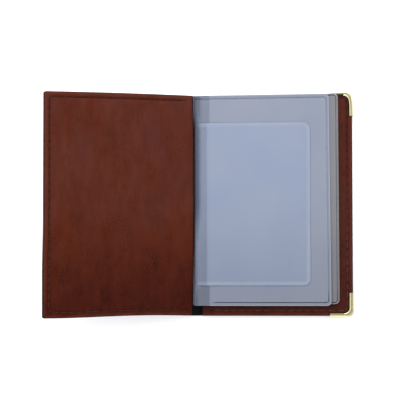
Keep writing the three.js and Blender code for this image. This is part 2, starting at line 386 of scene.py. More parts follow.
def leather_look(name, depth):
    """Waxed reddish brown leather: vertical creases, fine grain, darker towards the foot with dye and painted
    shade.
    """
    look = Look(name, Specular_IOR_Level=0.05)
    # darker towards the foot and the fold: the leather's dye and painted shade
    dye = look.mask("dye")
    clouds = look.noise(34, 3, 0.55)
    creases = look.noise(1, 4, 0.6, at=look.stretched((240, 75, 120)))
    specks = look.noise(1150, 3, 0.65)
    cracks = leather_cracks(look)
    shade = look.sum(
        look.times(clouds, 0.35),
        look.times(creases, 0.45),
        look.times(specks, 0.2),
        look.times(dye, 0.42),
    )
    body = look.blend(look.fit(shade, 0.42, 0.60), rgb(LEATHER_LIGHT, depth), rgb(LEATHER_MIDDLE, depth))
    body = look.blend(look.fit(shade, 0.60, 0.98), body, rgb(LEATHER_DARK, depth))
    body = look.blend(leather_mauve(look, dye), body, rgb(LEATHER_MAUVE, depth))
    body = look.blend(look.times(cracks, look.fit(dye, 0.0, 1.0, 0.3, 0.95)), body, rgb(LEATHER_CRACK))
    body = look.blend(leather_pits(look, dye), body, rgb(LEATHER_CRACK))
    # lighter on rubbed margins: wear, with a painted sheen where the puffed margin catches the light
    body = look.blend(look.times(look.mask("wear"), 0.75), body, rgb(LEATHER_WORN))
    # dark edge paint, with painted shade in the needle holes and a painted shadow beside the brass lips
    body = look.blend(look.mask("paint"), body, rgb(EDGE_PAINT))
    look.feed(look.shader.inputs["Base Color"], body)
    look.feed(look.shader.inputs["Roughness"], look.fit(look.sum(clouds, specks), 0.7, 1.3, 0.50, 0.36))
    grain = look.sum(
        look.fit(look.cells(1500), 0.0, 0.16, 0.0, 0.55),
        look.times(specks, look.fit(dye, 0.0, 1.0, 0.7, 1.6)),
        look.times(creases, 1.2),
        look.times(cracks, -0.8),
    )
    look.relief(grain, 0.05 * MM, 0.6)
    return look.material


def film_look(name, body, dark, light, alpha):
    """Hazy PVC film. `tone` is 1 for a painted highlight on a rim, 0 on plain film, -1 in a weld and in painted
    shade, and -2 in deep painted shade.
    """
    look = Look(name, Specular_IOR_Level=0.25, Alpha=alpha)
    haze = look.noise(38, 3, 0.5)
    dust = look.noise(700, 2, 0.5)
    tone = look.mask("tone")
    r, g, b = body
    bluer, rosier = (0.94 * r, 0.96 * g, 0.99 * b), (1.01 * r, 1.00 * g, 0.99 * b)
    colour = look.blend(look.fit(haze, 0.35, 0.65), rgb(bluer), rgb(rosier))
    colour = look.blend(look.fit(tone, 0.0, -1.0), colour, rgb(dark))
    colour = look.blend(look.fit(tone, -1.0, -2.0), colour, rgb(FILM_IN_SHADE))
    colour = look.blend(look.fit(tone, 0.0, 1.0), colour, rgb(light))
    look.feed(look.shader.inputs["Base Color"], colour)
    look.feed(look.shader.inputs["Roughness"], look.fit(look.sum(haze, dust), 0.7, 1.3, 0.28, 0.34))
    look.relief(look.noise(30, 1, 0.4), 0.25 * MM, 0.25)
    return look.material


def brass_look():
    """Pressed brass with painted reflections: the mask is -1 for a painted grey reflection, 0 where bright, 1 for
    painted shade that dulls it and 2 for a painted dark reflection.
    """
    look = Look("brass", Metallic=1.0)
    brushed = look.noise(1, 3, 0.6, at=look.stretched((900, 900, 6000)))
    stain = look.noise(320, 4, 0.6)
    colour = look.blend(look.fit(stain, 0.38, 0.68), rgb(BRASS_BRIGHT), rgb(BRASS_DULL))
    tarnish = look.mask("tarnish")
    # painted grey reflection, painted shade and painted dark reflection
    colour = look.blend(look.fit(tarnish, 0.0, -1.0), colour, rgb(BRASS_GREY))
    colour = look.blend(look.fit(tarnish, 0.0, 1.0), colour, rgb(BRASS_TARNISH))
    colour = look.blend(look.fit(tarnish, 1.0, 2.0), colour, rgb(BRASS_DARK))
    look.feed(look.shader.inputs["Base Color"], colour)
    look.feed(look.shader.inputs["Roughness"], look.fit(brushed, 0.3, 0.7, 0.28, 0.40))
    look.relief(look.sum(brushed, stain), 0.01 * MM, 0.3)
    return look.material


def thread_look():
    """Waxed brown thread, paler where it is worn."""
    look = Look("thread", Roughness=0.9, Specular_IOR_Level=0.05)
    fibres = look.noise(3200, 2, 0.6)
    dye = look.noise(260, 2, 0.5)
    colour = look.blend(look.fit(dye, 0.35, 0.65), rgb(THREAD_DARK), rgb(THREAD_LIGHT))
    colour = look.blend(look.mask("wear"), colour, rgb(THREAD_WORN))
    look.feed(look.shader.inputs["Base Color"], colour)
    look.relief(fibres, 0.04 * MM, 0.7)
    return look.material


def lining_look():
    """Black ribbed textile, its ribs running across the fold."""
    look = Look("lining", Roughness=0.9, Specular_IOR_Level=0.1)
    ribs = look.waves(390, 0.6, "Y")
    yarns = look.waves(1100, 1.2, "X")
    weave = look.times(ribs, look.fit(yarns, 0.0, 1.0, 0.5, 1.0))
    colour = look.blend(weave, rgb(TEXTILE_LOW), rgb(TEXTILE_HIGH))
    look.feed(look.shader.inputs["Base Color"], colour)
    look.relief(weave, 0.12 * MM, 0.8)
    return look.material


def board_look():
    """Grey-brown cardboard with long fibres."""
    look = Look("board", Roughness=0.9)
    fibres = look.noise(1, 4, 0.65, at=look.stretched((500, 1500, 1500)))
    colour = look.blend(look.fit(fibres, 0.35, 0.65), rgb(BOARD_DARK), rgb(BOARD_LIGHT))
    look.feed(look.shader.inputs["Base Color"], colour)
    look.relief(fibres, 0.05 * MM, 0.6)
    return look.material


LEATHER_OUTER = leather_look("leather_outer", 0.96)
LEATHER_INNER = leather_look("leather_inner", 1.0)
FILM = film_look(
    "film",
    body=(0.288, 0.314, 0.386),
    dark=(0.030, 0.034, 0.060),
    light=(0.42, 0.44, 0.53),
    alpha=0.42,
)
FILM_LOWER = film_look(
    "film_lower",
    body=(0.201, 0.201, 0.213),
    dark=(0.030, 0.032, 0.040),
    light=(0.42, 0.39, 0.40),
    alpha=0.62,
)
FILM_POCKET = film_look(
    "film_pocket",
    body=(0.300, 0.348, 0.460),
    dark=(0.035, 0.040, 0.072),
    light=(0.47, 0.50, 0.60),
    alpha=0.40,
)
BRASS = brass_look()
THREAD = thread_look()
LINING = lining_look()
BOARD = board_look()


# Seams


def seam_holes(side):
    """The needle holes of one cover, from the spine along the head, down the side and back."""
    x_end = WIDTH - SEAM_INSET - SEAM_RADIUS
    y_end = HALF - SEAM_INSET - SEAM_RADIUS
    pitch = 2 * y_end / STITCHES_ALONG_SIDE
    along_x = np.arange(x_end, SEAM_START[side], -pitch)
    along_y = np.linspace(y_end, -y_end, STITCHES_ALONG_SIDE + 1)
    head = [(x, HALF - SEAM_INSET) for x in along_x[::-1]]
    edge = [(WIDTH - SEAM_INSET, y) for y in along_y]
    foot = [(x, -HALF + SEAM_INSET) for x in along_x]
    return np.array(head + edge + foot)


def seam_line(x, y):
    """How far a point lies inside the line of stitches."""
    return inside(x, y, WIDTH - SEAM_INSET, SEAM_INSET - HALF, HALF - SEAM_INSET, SEAM_RADIUS)


def seam_runs(x, side):
    """1 where the cover is sewn, 0 near the fold."""
    return smooth(x, SEAM_START[side] - 1 * MM, SEAM_START[side])


def seam_relief(x, y, side):
    """How far the stitching pulls the leather down, at points with x measured outwards."""
    line = seam_line(x, y)
    depth = GROOVE_DEPTH * bump(line, 0, GROOVE_WIDTH) + PULL_DEPTH * bump(line, 0, PULL_WIDTH)
    for hx, hy in seam_holes(side):
        depth = depth + HOLE_DEPTH * np.exp(-((x - hx) ** 2 + (y - hy) ** 2) / HOLE_RADIUS**2)
    return depth * seam_runs(x, side)


def seam_darkness(x, y, side):
    """Painted shade: 1 in the needle holes, less along the groove between them."""
    dark = 0.12 * bump(seam_line(x, y), 0, HOLE_STAIN)
    for hx, hy in seam_holes(side):
        dark = np.maximum(dark, np.exp(-((x - hx) ** 2 + (y - hy) ** 2) / HOLE_STAIN**2))
    return dark * seam_runs(x, side)


def stitches(name, node, side, face):
    """Two-ply thread lying from hole to hole, on the pocket's face (+1) or the outer face (-1)."""
    holes = seam_holes(side)
    surface = FLAP_TOP - THREAD_SINK if face > 0 else OUTER_THREAD_HEIGHT
    along, around = 13, 8
    t = np.linspace(0, 1, along)[:, None]
    turn = np.linspace(0, 2 * math.pi, around, endpoint=False)[None, :]
    end = np.abs(2 * t - 1)
    size = 1 - 0.35 * end**5
    dive = THREAD_DIVE * end**5
    points, faces = [], []
    for a, b in zip(holes[:-1], holes[1:]):
        length = math.dist(a, b)
        direction = (b - a) / length
        a, b = a + THREAD_GAP * direction, b - THREAD_GAP * direction
        ply = 1 + 0.13 * np.cos(2 * (turn - t * length / MM * PLY_TURNS_PER_MM))
        sideways = np.cos(turn) * size * ply * THREAD_HALF_WIDTH
        height = surface + face * (np.sin(turn) * size * ply * THREAD_HALF_HEIGHT - dive)
        x = a[0] + (b - a)[0] * t - direction[1] * sideways
        y = a[1] + (b - a)[1] * t + direction[0] * sideways
        base = len(points) * along * around
        points.append(np.stack([side * x, y, height], axis=2).reshape(-1, 3))
        faces += [[base + i for i in f] for f in sweep_faces(along, around, flip=side * face < 0)]
    flat = np.concatenate(points)
    patchy = 0.5 + 0.5 * ripple(flat[:, 0], flat[:, 1], 51, 4 * MM)
    wear = smooth(-flat[:, 1], -70 * MM, 60 * MM) * patchy * (0.9 if side > 0 else 0.2)
    obj = piece(name, to_frame(flat, share_of(side)), faces, THREAD, "thread", flat=flat, wear=wear)
    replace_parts(obj, node)
    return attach(obj, "right_cover" if side > 0 else "left_cover")


# Brass caps press into the leather of the right cover

CAP_RADIUS = 4.2 * MM
cap_low, cap_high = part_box("corner_cap_top")
CAP_X = cap_high.x - FOLD_X
CAP_Y = cap_high.y
CAP_LEG = cap_high.x - cap_low.x
CAP_TOP = cap_high.z
# how wide the lips are, in from the side face and from the end face, at the head (1) and foot (-1)
LIP_SIDE = {1: 2.0 * MM, -1: 2.5 * MM}
LIP_END = {1: 2.2 * MM, -1: 2.0 * MM}
LIP_FILLET = 3.6 * MM
CAP_WALL = 0.34 * MM


def cap_cover(x, y, grow):
    """1 where a cap's lip lies on the leather, 0 away from it, soft over a short distance."""
    soft = 0.25 * MM
    side_lip = np.where(y > 0, LIP_SIDE[1], LIP_SIDE[-1])
    end_lip = np.where(y > 0, LIP_END[1], LIP_END[-1])
    a, b = CAP_X - x - side_lip, CAP_Y - np.abs(y) - end_lip
    in_corner = (a < LIP_FILLET) & (b < LIP_FILLET)
    fillet = LIP_FILLET - np.hypot(LIP_FILLET - a, LIP_FILLET - b)
    from_lip = np.where(in_corner, fillet, np.minimum(a, b))
    from_end = np.maximum(a + side_lip, b + end_lip)
    on_leg = 1 - smooth(from_end, CAP_LEG + grow - soft, CAP_LEG + grow + soft)
    return on_leg * (1 - smooth(from_lip, grow - soft, grow + soft))


# Leather


def cover_lines(side):
    """Grid lines for one cover: close together at the edge, the seam and the needle holes."""
    near_edge = np.array([0, 0.03, 0.09, 0.2, 0.36, 0.5, 0.56, 0.9, 1.3, 1.6, 1.9, 2.1, 2.4, 2.7, 2.9,
                          3.05, 3.2, 3.3, 3.4, 3.55, 3.75, 4.1, 4.7, 5.5, 13.8, 14.1, 14.4]) * MM
    holes = seam_holes(side)
    beside = np.array([-0.3, 0, 0.3, 2.45]) * MM
    last = WIDTH - SEAM_INSET - SEAM_RADIUS
    xs = [h + b for h in holes[:, 0] if h <= last + 0.01 * MM for b in beside if h + b < WIDTH - 5.5 * MM]
    ys = [h + b for h in holes[:, 1] for b in beside if abs(h + b) < HALF - 5.5 * MM]
    return (tidy([WIDTH - near_edge, np.array(xs)], 0.05 * MM),
            tidy([HALF - near_edge, near_edge - HALF, np.array(ys)], 0.05 * MM))


def turned_edge(distance, radius):
    """How far a rounded edge has dropped, this far inside the outline."""
    left = np.clip(radius - distance, 0, radius)
    return radius - np.sqrt(radius**2 - left**2)


def dye(x, y, side):
    """How dark the leather is: the dye and painted shade, deepening towards the foot and the fold, and darker on
    the right cover.
    """
    foot = smooth(-y, -5 * MM, 62 * MM)
    inner = 1 - x / WIDTH
    if side > 0:
        return 0.35 + foot * (0.45 + 0.3 * inner)
    return foot * (0.85 + 0.3 * inner)


def mouth_bow(y, free):
    """How far the left pocket's mouth bows, leaning in a little more at the foot."""
    return (-0.45 + 1.15 * (y / HALF) ** 2 - 0.22 * y / HALF) * MM * (1 - smooth(free, 2 * MM, 30 * MM))


def flap_grid(side):
    """Points of a pocket's leather, close together at its mouth too."""
    xs, ys = cover_lines(side)
    first = FLAP_START[side] + np.array([0, 0.04, 0.12, 0.25, 0.45, 0.8, 1.3, 2.0, 2.8]) * MM
    xs = tidy([first, xs[xs > first[-1] + 0.4 * MM]])
    x, y = np.meshgrid(xs, ys, indexing="ij")
    return rounded(x, y, WIDTH, -HALF, HALF, CORNER[side])


def pocket_flap(side, word):
    """The inner leather of one cover, sewn down on three sides and open towards the fold."""
    x, y = flap_grid(side)
    edge = inside(x, y, WIDTH, -HALF, HALF, CORNER[side])
    free = x - FLAP_START[side]
    waves = 0.05 * MM * ripple(x, y, 3 + side, 26 * MM) * smooth(edge, 3 * MM, 9 * MM)
    puff = 0.07 * MM * bump(edge, 1.7 * MM, 1.0 * MM)
    top = FLAP_TOP - 0.06 * MM + waves + puff - seam_relief(x, y, side)
    top = top - turned_edge(edge, 0.5 * MM) - turned_edge(free, 0.4 * MM)
    sewn = smooth(free, 0.4 * MM, 1.2 * MM)
    skirt = (edge < SKIRT_WIDTH + 0.02 * MM) * sewn
    bottom = FLAP_BOTTOM + (SKIRT_BOTTOM - FLAP_BOTTOM) * skirt
    bottom = bottom + 0.25 * turned_edge(free, 0.4 * MM)
    # painted shade in the needle holes and the seam groove; dark paint on the sewn edges
    dark = np.maximum(seam_darkness(x, y, side), 0.9 * smooth(-edge, -0.5 * MM, -0.1 * MM) * sewn)
    dark = np.maximum(dark, 0.75 * smooth(-free, -0.25 * MM, 0))
    if side > 0:
        lip = cap_cover(x, y, 0.1 * MM)
        top = top - 0.5 * MM * lip + 0.05 * MM * (cap_cover(x, y, 0.9 * MM) - lip)
        # painted shadow beside the brass lips
        dark = np.maximum(dark, 0.85 * cap_cover(x, y, 0.75 * MM))
    # rubbed margin beside the edge: wear and a painted sheen on the puffed leather
    wear = bump(edge, 1.0 * MM, 0.55 * MM) * (0.55 + 0.45 * ripple(x, y, 11 + side, 9 * MM))
    bow = mouth_bow(y, free) if side < 0 else 0.0
    flat = two_faces(side * (x + bow), y, top, bottom)
    below = np.where(edge < SKIRT_WIDTH + 0.02 * MM, 0.9 * sewn, 0.2)
    obj = piece(
        f"pocket_flap_{word}_leather",
        to_frame(flat, share_of(side)),
        slab_faces(*x.shape, flip=side < 0),
        LEATHER_INNER,
        "leather_inner",
        flat=flat,
        paint=np.concatenate([dark.ravel(), below.ravel()]),
        wear=np.concatenate([np.clip(wear, 0, 1).ravel(), 0 * wear.ravel()]),
        dye=np.tile(dye(x, y, side).ravel(), 2),
        bloom=np.full(2 * x.size, 0.5 if side > 0 else 0.0),
    )
    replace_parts(obj, f"pocket_flap_{word}")
    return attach(obj, f"{word}_cover")


def across_fold(name, flat, faces, material, slot, **attributes):
    """A piece that runs from one cover to the other and bends at the fold."""
    share = smooth(-flat[:, 0], -FOLD_HALF, FOLD_HALF)
    obj = piece(name, to_frame(flat, share), faces, material, slot, flat=flat, **attributes)
    start, end = to_frame(np.array([[FOLD_HALF, 0, 0], [-FOLD_HALF, 0, 0]]), np.array([0.0, 1.0]))
    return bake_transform(obj)


def outer_leather():
    """One skin from edge to edge, round the back of the holder."""
    right, ys = cover_lines(1)
    left, _ = cover_lines(-1)
    spine = spread(-6 * MM, (-2.4 * MM, 0.4 * MM), (2.4 * MM, 0.15 * MM), (6 * MM, 0.4 * MM))
    xs = tidy([-left[left > 6.4 * MM], spine, right[right > 6.4 * MM]])
    x, y = np.meshgrid(xs, ys, indexing="ij")
    out, edge, pull, dark = np.abs(x), 0 * x, 0 * x, 0 * x
    for side in (1, -1):
        half = x * side > 0
        rx, ry = rounded(out, y, WIDTH, -HALF, HALF, CORNER[side])
        out, y = np.where(half, rx, out), np.where(half, ry, y)
        edge = np.where(half, inside(out, y, WIDTH, -HALF, HALF, CORNER[side]), edge)
        pull = np.where(half, seam_relief(out, y, side), pull)
        # painted shade in the needle holes and the seam groove
        dark = np.where(half, seam_darkness(out, y, side), dark)
    edge = np.where(x == 0, HALF - np.abs(y), edge)
    x = np.sign(x) * out
    lip = cap_cover(out, y, 0.1 * MM) * (x > 0)
    bottom = 0.06 * MM + pull + turned_edge(edge, 0.4 * MM) + 0.42 * MM * lip
    bottom = bottom + 0.03 * MM * ripple(x, y, 21, 24 * MM) * smooth(edge, 3 * MM, 9 * MM)
    bottom = bottom + 0.16 * MM * bump(out, 4.2 * MM, 0.9 * MM)  # crease beside each board
    top = OUTER_TOP - 0.4 * turned_edge(edge, 0.2 * MM)
    dark = np.maximum(dark, 0.9 * smooth(-edge, -0.25 * MM, -0.05 * MM))
    wear = bump(edge, 1.0 * MM, 0.55 * MM) * (0.5 + 0.5 * ripple(x, y, 31, 9 * MM))
    wear = np.maximum(wear, 0.4 * bump(out, 2.4 * MM, 1.2 * MM))
    flat = two_faces(x, y, top, bottom)
    obj = across_fold(
        "outer_leather",
        flat,
        slab_faces(*x.shape),
        LEATHER_OUTER,
        "leather_outer",
        paint=np.concatenate([0.9 * (edge < 0.3 * MM).ravel(), dark.ravel()]),
        wear=np.concatenate([0 * wear.ravel(), np.clip(wear, 0, 1).ravel()]),
        dye=np.tile(dye(out, y, -1).ravel(), 2),
    )
    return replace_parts(obj, "outer_leather_left", "outer_leather_right", "spine_leather")


def lining():
    """Black textile over both boards, pressed down onto the leather between them."""
    width, half = lining_high[0], lining_high[1]
    board = flat_box("stiffener_right", 1)[0][0]
    xs = spread(-width, (-12 * MM, 6 * MM), (-6 * MM, 1 * MM), (-2.4 * MM, 0.3 * MM),
                (2.4 * MM, 0.15 * MM), (6 * MM, 0.3 * MM), (12 * MM, 1 * MM), (width, 6 * MM))
    ys = spread(-half, (-half + 7 * MM, 0.2 * MM), (half - 7 * MM, 2 * MM), (half, 0.2 * MM))
    x, y = np.meshgrid(xs, ys, indexing="ij")
    on_board = smooth(np.abs(x), board - 1.0 * MM, board)
    thick = lining_high[2] - lining_low[2]
    seat = OUTER_TOP + 0.06 * MM
    bottom = seat + (lining_low[2] - seat) * on_board
    ribs = 0.03 * MM * np.cos(2 * math.pi * y / (0.8 * MM)) * (1 - on_board)
    flat = two_faces(x, y, bottom + thick + ribs, bottom)
    obj = across_fold("textile_lining", flat, slab_faces(*x.shape), LINING, "lining")
    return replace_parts(obj, "lining_left", "lining_right", "spine_lining")


# Brass


def corner_path(inset_x, inset_y, radius):
    """Points along a cap, in from its faces by these amounts: the end leg, the bend, the side leg."""
    x, y = CAP_X - inset_x, CAP_Y - inset_y
    turn = np.linspace(math.pi / 2, 0, 17)[1:-1]
    end_leg = [(at, y) for at in np.linspace(CAP_X - CAP_LEG, x - radius, 10)]
    bend = [(x - radius + radius * math.cos(a), y - radius + radius * math.sin(a)) for a in turn]
    side_leg = [(x, at) for at in np.linspace(y - radius, CAP_Y - CAP_LEG, 10)]
    return np.array(end_leg + bend + side_leg)


def cap_tarnish(share, height, end, on_end_leg):
    """Painted shade between the lip's two ribs, on the outer face and on the inner edge of the end leg. A painted
    grey, then dark, reflection along the head.
    """
    if end > 0 and on_end_leg and height > 1:
        return 2.0 if share > 0.5 else -1.0
    if share < 0.1:
        return 0.97
    if share > 0.8 and on_end_leg:
        return 0.9
    return 0.65 if 0.28 < share < 0.75 and height > 1 else 0.0


def corner_cap(end, node):
    """A pressed channel swept round the corner, with a ribbed lip above and a flat one below."""
    outer = corner_path(0, 0, CAP_RADIUS)
    inner = corner_path(LIP_SIDE[end], LIP_END[end], LIP_FILLET)
    top = CAP_TOP / MM
    # share of the lip's width, millimetres from the outer face, height
    section = [(1, 0, top - 0.13), (0.98, 0, top - 0.03), (0.92, 0, top + 0.02), (0.82, 0, top + 0.03),
               (0.7, 0, top - 0.01), (0.55, 0, top - 0.07), (0.42, 0, top - 0.06), (0.3, 0, top + 0.02),
               (0.21, 0, top + 0.07), (0.13, 0.03, top + 0.04), (0.05, 0.05, top - 0.07),
               (0, 0.05, top - 0.25), (0, 0, top - 0.6), (0, -0.05, top / 2), (0, 0, 0.6),
               (0, 0.06, 0.26), (0.05, 0.08, 0.1), (0.13, 0.08, 0.02), (0.4, 0, 0.0), (0.98, 0, 0.0),
               (1, 0, 0.06)]
    wall = CAP_WALL / MM
    back = [(1, 0, 0.3), (0.3, 0, wall), (0, wall + 0.2, wall + 0.02), (0, wall, wall + 0.3),
            (0, wall, top - wall - 0.3), (0, wall + 0.2, top - wall - 0.03), (0.3, 0, top - wall),
            (1, 0, top - wall)]
    points, tarnish = [], []
    for face, lip in zip(outer, inner):
        inward = (lip - face) / math.dist(lip, face) * MM
        on_end_leg = face[0] < CAP_X - CAP_RADIUS + 0.01 * MM
        for share, away, z in section + back:
            x, y = face + (lip - face) * share + inward * away
            points.append((x, end * y, z * MM))
            tarnish.append(cap_tarnish(share, z, end, on_end_leg))
    flat = np.array(points)
    obj = piece(node + "_pressed", to_frame(flat, 0.0),
                sweep_faces(len(outer), len(section + back), flip=end < 0),
                BRASS, "brass", flat=flat, tarnish=np.array(tarnish, float))
    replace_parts(obj, node)
    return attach(obj, "right_cover")


# Plastic insert

ROOT_X = 2.6 * MM  # beyond this the leaves lie flat
BEAD = 0.9 * MM
WRAP_RADIUS = 1.18 * MM  # the top leaf's front film wraps over the bead at this distance from the axis
WRAP_REACH = 5.4 * MM
WELD_SIDE, WELD_END = 1.55 * MM, 2.0 * MM  # the top leaf's weld line, in from its edges
LOWER_WELD_SIDE, LOWER_WELD_END = 0.5 * MM, 0.8 * MM
WELD_CORNER = 1.8 * MM
LEAF_CORNER = 2.6 * MM
POCKET_CORNER = 4.4 * MM
TOP_LEAF_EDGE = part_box("sleeve_1_front")[1].x - FOLD_X + 0.3 * MM
WELD_BAND = (2.6 * MM, 8.1 * MM)  # where all the leaves are welded to each other


def bezier(t, points):
    """Points and unit normals along a cubic curve in x and z, at the numbers t."""
    a, b, c, d = (np.array(p, float)[:, None, None] for p in points)
    at = (1 - t) ** 3 * a + 3 * (1 - t) ** 2 * t * b + 3 * (1 - t) * t * t * c + t**3 * d
    way = 3 * (1 - t) ** 2 * (b - a) + 6 * (1 - t) * t * (c - b) + 3 * t * t * (d - c)
    way = way / np.hypot(way[0], way[1])
    return at, np.stack([way[1], -way[0]])


def in_shade(y):
    """1 along the part of the fold where the left pocket's mouth shades the film, 0 at the ends."""
    return smooth(y, -58 * MM, -5 * MM) * (1 - smooth(y, 42 * MM, 60 * MM))


def root_tone(x, y):
    """The painted shade near the fold: deep and wide beside the left pocket, fainter towards the foot, and a
    painted shade over the film that deepens towards the foot.
    """
    upper = smooth(y, -28 * MM, 2 * MM)
    at_ends = 0.15 * smooth(y, 45 * MM, 60 * MM) + 0.2 * smooth(-y, 48 * MM, 54 * MM)
    shade = (0.48 + 0.44 * upper - at_ends) * (1 - smooth(x, -0.8 * MM, (1.8 + 2.1 * upper) * MM))
    hidden = 0.6 * in_shade(y) * (1 - smooth(x, -2.9 * MM, -1.7 * MM))
    return -shade - hidden - 0.17 * smooth(-y, -15 * MM, 55 * MM)


def leaf_tone(x, y, number, top, edge, line, weld):
    """A painted highlight on the rim, the weld line and the darker band where all the leaves are welded together,
    with painted shade towards the foot.
    """
    at_foot, at_head = smooth(-y, 48 * MM, 54 * MM), smooth(y, 50 * MM, 58 * MM)
    band_start = WELD_BAND[0] - (3.0 * at_foot + 1.2 * at_head) * MM
    band_end = WELD_BAND[1]
    band = smooth(x - band_start, -0.4 * MM, 0) * (1 - smooth(x, band_end - 0.4 * MM, band_end))
    # painted highlight along the cut edge
    rim = 0.8 * (edge < 0.3 * MM) - 0.06 * (line < 0)
    at_ends = smooth(-y, 50 * MM, 58 * MM) + 0.5 * smooth(y, 55 * MM, 63 * MM)
    weld = weld * (1 - at_foot * (1 - smooth(x, 10 * MM, 11 * MM)))
    tone = rim * smooth(x, 8 * MM, 9 * MM) - (0.45 + 0.7 * at_ends + 0.8 * (number > 1)) * weld
    # painted shade deepens the band towards the foot
    tone = tone - (0.27 + 0.08 * smooth(-y, 0, 55 * MM)) * band
    tone = tone - 0.05 * smooth(y, top - 1.6 * MM, top - 1.3 * MM)
    if number > 1:  # the leaf above casts a soft line along its own edge
        # painted shadow of the leaf above
        tone = tone - 0.45 * bump(x, TOP_LEAF_EDGE - 0.6 * MM * y / HALF, 0.6 * MM)
    return tone


def pocket_tone(x, edge):
    """A broad light rim with a thin painted shadow at its edge, and a darker strip beside the fold."""
    rim = smooth(-edge, -3.0 * MM, -2.0 * MM)
    return 0.22 * rim - 0.7 * (edge < 0.3 * MM) - 0.27 * (1 - smooth(x, 6.2 * MM, 6.8 * MM))


def film_grid(begin, right, bottom, top, radius):
    """Points of a page, close together at its root and along its three outer edges."""
    near = np.array([0, 0.05, 0.15, 0.4, 0.8, 1.2, 1.6, 1.9, 2.1, 2.3, 2.5, 2.7, 3.0, 3.5]) * MM
    far = near[-1]
    xs = tidy([spread(begin, (ROOT_X, 0.22 * MM)), spread(ROOT_X, (9 * MM, 0.6 * MM)),
               spread(9 * MM, (right - far, 3 * MM)), right - near])
    ys = tidy([bottom + near, spread(bottom + far, (top - far, 3 * MM)), top - near])
    x, y = np.meshgrid(xs, ys, indexing="ij")
    return rounded(x, y, right, bottom, top, radius)


def film(name, node, number, root, reach, order, material, lean=0.0, shift=0.0, press=0.0, start=None):
    """One film of the insert, from its root on the binding bead to its rounded outer corners.

    root is the curve's end and the handle there, in x and z from the fold axis. reach is the length
    of film that bends. order counts the films from the table up, and the higher ones lie less flat.
    A film with a start is the card pocket, which begins there and not at the root.
    """
    low, high = (np.array(c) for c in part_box(node))
    right, bottom, top = high[0] - FOLD_X, low[1], high[1]
    level, thick = (low[2] + high[2]) / 2, high[2] - low[2] - 0.03 * MM
    is_leaf = start is None
    radius = LEAF_CORNER if is_leaf else POCKET_CORNER
    x, y = film_grid(ROOT_X - reach if is_leaf else start, right, bottom, top, radius)
    edge = inside(x, y, right, bottom, top, radius)
    settled = smooth(x, 8 * MM, 22 * MM) * smooth(edge, 1 * MM, 12 * MM)
    height = level + order * 0.016 * MM * (1 + ripple(x, y, 5, 46 * MM)) * settled
    if is_leaf:
        side_inset, end_inset = (WELD_SIDE, WELD_END) if number == 1 else (LOWER_WELD_SIDE, LOWER_WELD_END)
        line = inside(x, y, right - side_inset, bottom + end_inset, top - end_inset, WELD_CORNER)
        weld = bump(line, 0, 0.2 * MM)
        height = height - press * 0.07 * MM * weld
        tone = leaf_tone(x, y, number, top, edge, line, weld)
    else:
        height = height + 0.04 * MM * bump(edge, 1.2 * MM, 0.7 * MM)
        tone = pocket_tone(x, edge)
    tone = tone + root_tone(x, y)
    x_lean = x - (lean * y / HALF + shift) * smooth(x, 10 * MM, right)
    t = np.clip((ROOT_X - x) / reach, 0, 1)
    zero = level - FOLD_Z
    curve, normal = bezier(t, [(ROOT_X, zero), (ROOT_X - 0.42 * reach, zero), root[1], root[0]])
    bent = x < ROOT_X
    grids = []
    for offset in (thick / 2, -thick / 2):
        gx = np.where(bent, curve[0] + normal[0] * offset, x_lean)
        gz = np.where(bent, FOLD_Z + curve[1] + normal[1] * offset, height + offset)
        grids.append(uneven(np.stack([gx, y, gz], axis=2).reshape(-1, 3)) + [FOLD_X, 0, 0])
    flat = two_faces(x, y, level + 0 * x, level + 0 * x)
    obj = piece(name, np.concatenate(grids), slab_faces(*x.shape), material, "film",
                flat=flat, tone=np.tile(tone.ravel(), 2))
    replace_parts(obj, node)
    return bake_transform(obj)


def polar(angle, radius):
    """A point in x and z from the fold axis, by its angle in degrees."""
    return np.array([math.cos(math.radians(angle)), math.sin(math.radians(angle))]) * radius


bodies = frame["record"]["behaviour"]["bodies"]
leaves = {body: nodes for body, nodes in bodies.items() if body.startswith("sleeve")}


def wrapped_root(radius):
    """Where a film that wraps over the bead ends, and the handle of its curve there."""
    tip = polar(203, radius)
    return tip, tip + np.array([-0.15, 1.75]) * MM


def sleeves():
    """The top leaf wraps over the bead. The others start beside it, one below the other."""
    count = len(leaves)
    for number in range(1, count + 1):
        for word, press in (("back", -1), ("front", 1)):
            node = f"sleeve_{number}_{word}"
            order = 2 * (count - number) + (press > 0)
            if number == 1:
                root = wrapped_root(WRAP_RADIUS if press > 0 else WRAP_RADIUS - 0.2 * MM)
                reach = WRAP_REACH if press > 0 else WRAP_REACH - 0.3 * MM
            else:
                angle = 50 - 28 * (number - 1) + 7 * press
                root = (polar(angle, BEAD + 0.07 * MM), polar(angle, BEAD + 0.8 * MM))
                reach = 2.2 * MM
            material = FILM if number == 1 else FILM_LOWER
            lean, shift = (0.6 * MM, 0.35 * MM) if number == 1 else (0.25 * MM, 0.45 * MM)
            film(f"{node}_film", node, number, root, reach, order, material, lean, shift, press)
    film("card_pocket_clear_film", "card_pocket_film", 1, wrapped_root(WRAP_RADIUS), WRAP_REACH,
         2 * count, FILM_POCKET, shift=-0.4 * MM, start=1.0 * MM)


def binding():
    """The welded roll at the fold, slightly uneven, with rounded ends."""
    low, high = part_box("insert_binding")
    rings, around = 90, 16
    y = np.linspace(low.y, high.y, rings)[:, None]
    turn = np.linspace(0, 2 * math.pi, around, endpoint=False)[None, :]
    from_end = np.minimum(y - low.y, high.y - y)
    size = BEAD * (0.94 - 0.35 * np.exp(-from_end / (0.25 * MM)))
    size = size * (1 + 0.03 * np.cos(2 * math.pi * y / (3.1 * MM)) + 0.02 * np.cos(3 * turn))
    flat = np.stack([size * np.cos(turn), y + 0 * turn, FOLD_Z + size * np.sin(turn)], axis=2).reshape(-1, 3)
    # painted shade over the whole roll, down in the fold
    obj = piece("insert_binding_roll", to_frame(flat, 0.0), sweep_faces(rings, around, flip=True),
                FILM, "film", flat=flat, tone=np.full(len(flat), -1.3))
    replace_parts(obj, "insert_binding")
    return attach(obj, "right_cover")


